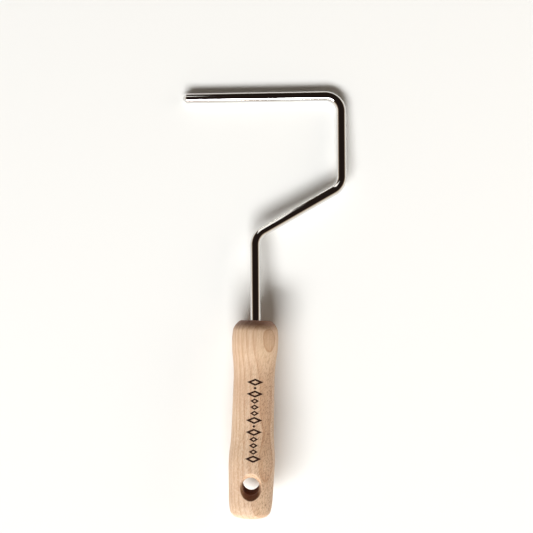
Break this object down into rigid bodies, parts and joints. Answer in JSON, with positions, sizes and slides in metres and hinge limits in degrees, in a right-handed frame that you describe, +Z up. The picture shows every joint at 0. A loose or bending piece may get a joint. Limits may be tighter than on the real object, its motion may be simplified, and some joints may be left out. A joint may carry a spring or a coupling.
{
  "type": "brayer handle",
  "caption": "Hand brayer handle with no roller fitted: a bent bright-steel wire frame whose free arm is the roller spindle, set in a turned beech grip with a hanging hole.",
  "frame": {"origin": "on the table under the middle of the tool's bounding box, lying as it rests: on the spindle arm and on the grip's front swell", "axes": "+Z up from the table; +Y from the grip's butt towards the spindle arm; -X along the spindle arm out of its free tip"},
  "size_m": [0.1014, 0.2584, 0.0341],
  "materials": {
    "plated_steel": "bright nickel-chrome plate over cold-drawn wire, mirror-like, with faint drawing lines",
    "beech": "turned and sanded beech under a thin satin lacquer, with a small burned ornament"
  },
  "bodies": {
    "root": {"wire_frame": "plated_steel", "handle": "beech"}
  },
  "joints": []
}
